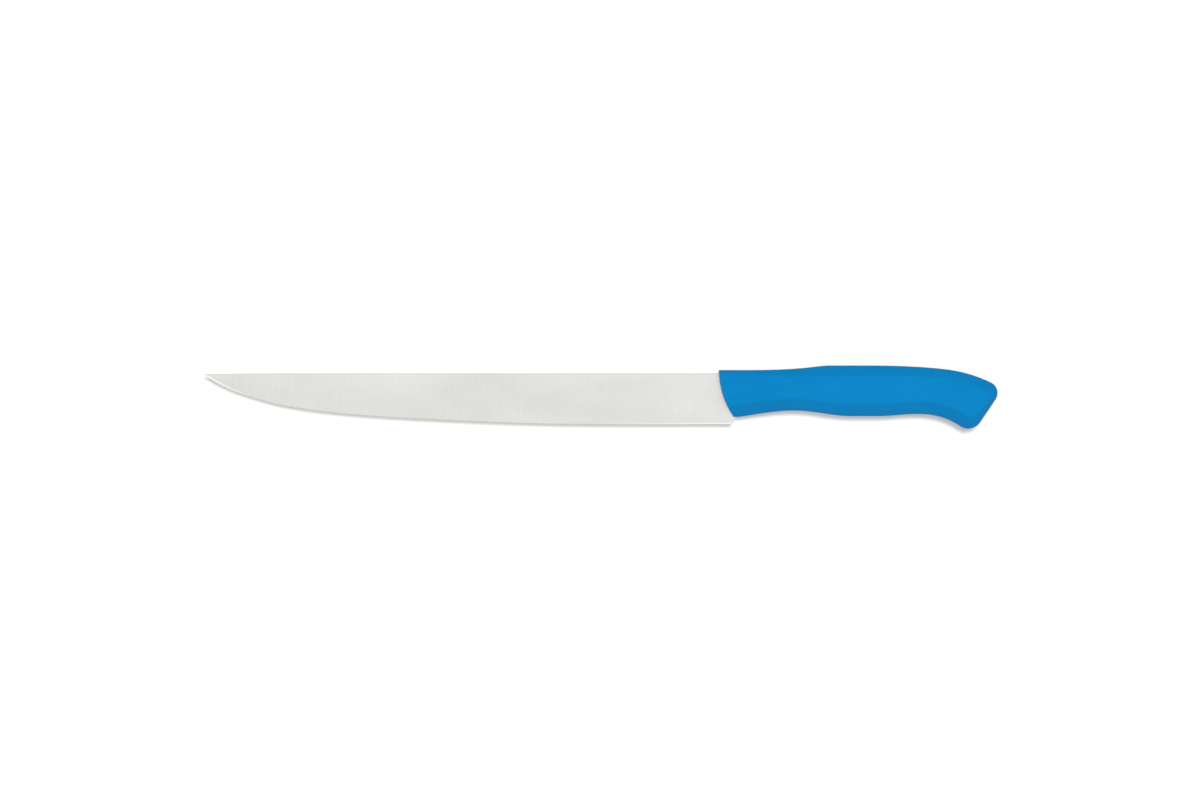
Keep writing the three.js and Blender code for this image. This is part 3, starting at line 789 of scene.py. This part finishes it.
def ground_steel(s):
    """Stainless steel ground across the blade on a fine belt: satin, cloudy, streaked to the edge."""
    material = bpy.data.materials.new("ground_stainless_steel")
    tree = new_tree(material)
    place = add(tree, "ShaderNodeTexCoord").outputs["Object"]
    # Belt lines about 1 mm apart and 12 mm long, coarser than a real belt's so that they show.
    lines = add(tree, "ShaderNodeMapping", {"Vector": place, "Scale": per_metre(1.0, 12, 12)})
    line = add(tree, "ShaderNodeTexNoise", {"Vector": lines.outputs[0], "Scale": 1.0, "Detail": 4.0})
    # Broad clouds of tone about 55 mm long and 20 mm high. Their place in the noise makes the blade
    # lightest at the heel and a quarter of the way from the tip.
    clouds = add(
        tree,
        "ShaderNodeMapping",
        {"Vector": place, "Location": (-0.1, -0.2, 304.9), "Scale": per_metre(55, 20, 20)},
    )
    cloud = add(tree, "ShaderNodeTexNoise", {"Vector": clouds.outputs[0], "Scale": 1.0, "Detail": 3.0})
    both = add(
        tree,
        "ShaderNodeMix",
        {0: s.cloud_share, 2: line.outputs["Fac"], 3: cloud.outputs["Fac"]},
    )
    spread = add(
        tree,
        "ShaderNodeMapRange",
        {"Value": both.outputs[0], "From Min": NOISE_LOW, "From Max": NOISE_HIGH},
    )
    tone = add(
        tree,
        "ShaderNodeMix",
        {0: spread.outputs[0], 6: (*s.steel_dark, 1), 7: (*s.steel_light, 1)},
        data_type="RGBA",
    )
    rough = add(
        tree,
        "ShaderNodeMapRange",
        {
            "Value": line.outputs["Fac"],
            "From Min": NOISE_LOW,
            "From Max": NOISE_HIGH,
            "To Min": 0.21,
            "To Max": 0.28,
        },
    )
    bump = add(
        tree, "ShaderNodeBump", {"Height": line.outputs["Fac"], "Strength": 0.2, "Distance": 0.01 * MM}
    )
    tangent = add(tree, "ShaderNodeTangent", direction_type="UV_MAP", uv_map="grind")
    steel = add(
        tree,
        "ShaderNodeBsdfPrincipled",
        {
            "Base Color": tone.outputs[2],
            "Metallic": 1.0,
            "Roughness": rough.outputs[0],
            "Anisotropic": 0.4,
            "Normal": bump.outputs[0],
            "Tangent": tangent.outputs[0],
        },
    )
    add(tree, "ShaderNodeOutputMaterial", {"Surface": steel.outputs[0]})
    return material


def honed_steel_with_highlight(s):
    """Stainless steel sharpened on a fine stone: smoother than the ground faces, and painted lighter as
    a highlight.
    """
    material = bpy.data.materials.new("honed_steel_painted_highlight")
    tree = new_tree(material)
    place = add(tree, "ShaderNodeTexCoord").outputs["Object"]
    # Stone scratches about 0.5 mm apart.
    lines = add(tree, "ShaderNodeMapping", {"Vector": place, "Scale": per_metre(0.5, 6, 6)})
    line = add(tree, "ShaderNodeTexNoise", {"Vector": lines.outputs[0], "Scale": 1.0, "Detail": 3.0})
    rough = add(
        tree,
        "ShaderNodeMapRange",
        {
            "Value": line.outputs["Fac"],
            "From Min": NOISE_LOW,
            "From Max": NOISE_HIGH,
            "To Min": 0.16,
            "To Max": 0.26,
        },
    )
    # The light base colour is a painted highlight along the edge; the lower roughness is the real
    # smoother finish.
    steel = add(
        tree,
        "ShaderNodeBsdfPrincipled",
        {"Base Color": (*s.honed_with_highlight, 1), "Metallic": 1.0, "Roughness": rough.outputs[0]},
    )
    add(tree, "ShaderNodeOutputMaterial", {"Surface": steel.outputs[0]})
    return material


def blanked_steel(s):
    """Stainless steel as the blanking press leaves its edges: duller, with drag lines along them."""
    material = bpy.data.materials.new("blanked_stainless_steel")
    tree = new_tree(material)
    place = add(tree, "ShaderNodeTexCoord").outputs["Object"]
    # Drag lines about 0.4 mm apart through the thickness.
    lines = add(tree, "ShaderNodeMapping", {"Vector": place, "Scale": per_metre(9, 3, 0.4)})
    line = add(tree, "ShaderNodeTexNoise", {"Vector": lines.outputs[0], "Scale": 1.0, "Detail": 3.0})
    rough = add(
        tree,
        "ShaderNodeMapRange",
        {
            "Value": line.outputs["Fac"],
            "From Min": NOISE_LOW,
            "From Max": NOISE_HIGH,
            "To Min": 0.38,
            "To Max": 0.52,
        },
    )
    bump = add(
        tree, "ShaderNodeBump", {"Height": line.outputs["Fac"], "Strength": 0.3, "Distance": 0.02 * MM}
    )
    steel = add(
        tree,
        "ShaderNodeBsdfPrincipled",
        {
            "Base Color": (*s.blanked, 1),
            "Metallic": 1.0,
            "Roughness": rough.outputs[0],
            "Normal": bump.outputs[0],
        },
    )
    add(tree, "ShaderNodeOutputMaterial", {"Surface": steel.outputs[0]})
    return material


def moulded_plastic(s):
    """Polypropylene moulded in a spark-eroded tool: deep, even blue with a fine satin grain."""
    material = bpy.data.materials.new("moulded_polypropylene")
    tree = new_tree(material)
    place = add(tree, "ShaderNodeTexCoord").outputs["Object"]
    # Spark-eroded grain about 0.35 mm across.
    (grain_scale,) = per_metre(0.35)
    grain = add(tree, "ShaderNodeTexNoise", {"Vector": place, "Scale": grain_scale, "Detail": 3.0})
    # Faint swirls of the colour about 30 mm long and 10 mm across, left by the flow of the melt.
    flow = add(tree, "ShaderNodeMapping", {"Vector": place, "Scale": per_metre(30, 10, 10)})
    swirl = add(
        tree,
        "ShaderNodeTexNoise",
        {"Vector": flow.outputs[0], "Scale": 1.0, "Detail": 3.0, "Distortion": 0.6},
    )
    spread = add(
        tree, "ShaderNodeMapRange", {"Value": swirl.outputs["Fac"], "From Min": 0.35, "From Max": 0.65}
    )
    tone = add(
        tree,
        "ShaderNodeMix",
        {0: spread.outputs[0], 6: (*s.plastic_deep, 1), 7: (*s.plastic, 1)},
        data_type="RGBA",
    )
    rough = add(
        tree,
        "ShaderNodeMapRange",
        {
            "Value": grain.outputs["Fac"],
            "From Min": NOISE_LOW,
            "From Max": NOISE_HIGH,
            "To Min": 0.4,
            "To Max": 0.52,
        },
    )
    bump = add(
        tree, "ShaderNodeBump", {"Height": grain.outputs["Fac"], "Strength": 0.2, "Distance": 0.03 * MM}
    )
    # The grain breaks up the gloss, so the specular level is low.
    plastic = add(
        tree,
        "ShaderNodeBsdfPrincipled",
        {
            "Base Color": tone.outputs[2],
            "Roughness": rough.outputs[0],
            "IOR": 1.49,
            "Specular IOR Level": 0.05,
            "Normal": bump.outputs[0],
        },
    )
    add(tree, "ShaderNodeOutputMaterial", {"Surface": plastic.outputs[0]})
    return material


# Studio


def seen_directly(tree):
    """1 for rays from the camera, a mirror or glass, and 0 for the light that scatters."""
    path = add(tree, "ShaderNodeLightPath").outputs
    seen = path["Is Camera Ray"]
    for ray in ("Is Glossy Ray", "Is Transmission Ray"):
        seen = add(tree, "ShaderNodeMath", {0: seen, 1: path[ray]}, operation="MAXIMUM").outputs[0]
    return seen


def studio_floor(s):
    """A wide floor just under the knife: matt paper, lifted to white where it is seen directly."""
    material = bpy.data.materials.new("matt_white_paper")
    tree = new_tree(material)
    scattered = tuple(s.paper * value for value in s.paper_tone)
    paper = add(tree, "ShaderNodeBsdfDiffuse", {"Color": (*scattered, 1)})
    lift = add(tree, "ShaderNodeMath", {0: seen_directly(tree), 1: s.glow}, operation="MULTIPLY")
    glow = add(tree, "ShaderNodeEmission", {"Color": (*s.backdrop, 1), "Strength": lift.outputs[0]})
    shown = add(tree, "ShaderNodeAddShader", {0: paper.outputs[0], 1: glow.outputs[0]})
    add(tree, "ShaderNodeOutputMaterial", {"Surface": shown.outputs[0]})
    corners = np.array(((-1, -1), (1, -1), (1, 1), (-1, 1))) * s.floor_reach
    points = np.column_stack((corners, np.full(len(corners), -s.floor_gap))) - ZERO
    mesh_object("floor", points, [[0, 1, 2, 3]], [material])


def studio_light(s):
    """A soft dome that leans to the edge's side, and a wide lamp overhead that leans to the spine's."""
    world = bpy.data.worlds.new("studio")
    bpy.context.scene.world = world
    tree = new_tree(world)
    way = add(tree, "ShaderNodeTexCoord").outputs["Generated"]
    lean = add(
        tree,
        "ShaderNodeVectorMath",
        {0: way, 1: (-s.dome_turn, -s.dome_lean, 0)},
        operation="DOT_PRODUCT",
    )
    dome = add(tree, "ShaderNodeMath", {0: lean.outputs["Value"], 1: s.dome}, operation="ADD")
    strength = add(tree, "ShaderNodeMix", {0: seen_directly(tree), 2: dome.outputs[0], 3: 1.0})
    light = add(
        tree, "ShaderNodeBackground", {"Color": (*s.backdrop, 1), "Strength": strength.outputs[0]}
    )
    add(tree, "ShaderNodeOutputWorld", {"Surface": light.outputs[0]})

    sun = bpy.data.lights.new("overhead", "SUN")
    sun.energy = s.lamp * np.pi / (np.cos(s.lamp_tilt) * np.cos(s.lamp_turn))
    sun.angle = s.lamp_spread
    lamp = bpy.data.objects.new("overhead", sun)
    lamp.rotation_euler = (-s.lamp_tilt, s.lamp_turn, 0)
    lamp.visible_glossy = False
    bpy.context.scene.collection.objects.link(lamp)


def studio_camera(s):
    """A long lens straight above, that sees the frame's width at the knife's middle plane."""
    data = bpy.data.cameras.new("camera")
    data.lens = s.lens
    camera = bpy.data.objects.new("camera", data)
    distance = s.frame_width * s.lens / data.sensor_width
    middle_x = (BLADE_LOW[0] + HANDLE_HIGH[0]) / 2
    middle_y = (HANDLE_LOW[1] + HANDLE_HIGH[1]) / 2
    camera.location = (middle_x - s.aim_tipwards, middle_y - s.aim_edgewards, ZERO[2] + distance)
    # The view reaches the floor's far side from any height.
    data.clip_end = distance + 2 * s.floor_reach
    bpy.context.scene.collection.objects.link(camera)
    bpy.context.scene.camera = camera


def make_studio(s):
    """Floor, light and camera, with colours shown as they are."""
    studio_floor(s)
    studio_light(s)
    studio_camera(s)
    bpy.context.scene.view_settings.view_transform = "Standard"


# Add-on


class KNIFE_OT_studio(bpy.types.Operator):
    """Lay the white floor, set the soft light and put the camera above"""

    bl_idname = "knife.studio"
    bl_label = "Studio"

    def execute(self, context):
        make_studio(context.scene.knife.studio)
        return {"FINISHED"}


class KNIFE_OT_blade(bpy.types.Operator):
    """Make the ground blade with its tang"""

    bl_idname = "knife.blade"
    bl_label = "Blade"

    def execute(self, context):
        make_blade(context.scene.knife.blade)
        return {"FINISHED"}


class KNIFE_OT_handle(bpy.types.Operator):
    """Mould the handle round the blade's tang"""

    bl_idname = "knife.handle"
    bl_label = "Handle"

    def execute(self, context):
        make_handle(context.scene.knife.handle)
        return {"FINISHED"}


class KNIFE_PT_sidebar(bpy.types.Panel):
    """The knife's settings, each group above the button that makes its piece"""

    bl_idname = "KNIFE_PT_sidebar"
    bl_label = "Fillet knife"
    bl_space_type = "VIEW_3D"
    bl_region_type = "UI"
    bl_category = "Knife"

    def draw(self, context):
        for piece in ("studio", "blade", "handle"):
            group = getattr(context.scene.knife, piece)
            box = self.layout.box()
            for name in group.__annotations__:
                box.prop(group, name)
            box.operator(f"knife.{piece}")


CLASSES = (
    BladeSettings,
    HandleSettings,
    StudioSettings,
    KnifeSettings,
    KNIFE_OT_studio,
    KNIFE_OT_blade,
    KNIFE_OT_handle,
    KNIFE_PT_sidebar,
)


def register():
    for cls in CLASSES:
        bpy.utils.register_class(cls)
    bpy.types.Scene.knife = PointerProperty(type=KnifeSettings)


def unregister():
    del bpy.types.Scene.knife
    for cls in reversed(CLASSES):
        bpy.utils.unregister_class(cls)


def main():
    register()
    bpy.ops.knife.studio()
    bpy.ops.knife.blade()
    bpy.ops.knife.handle()


if __name__ == "__main__":
    main()
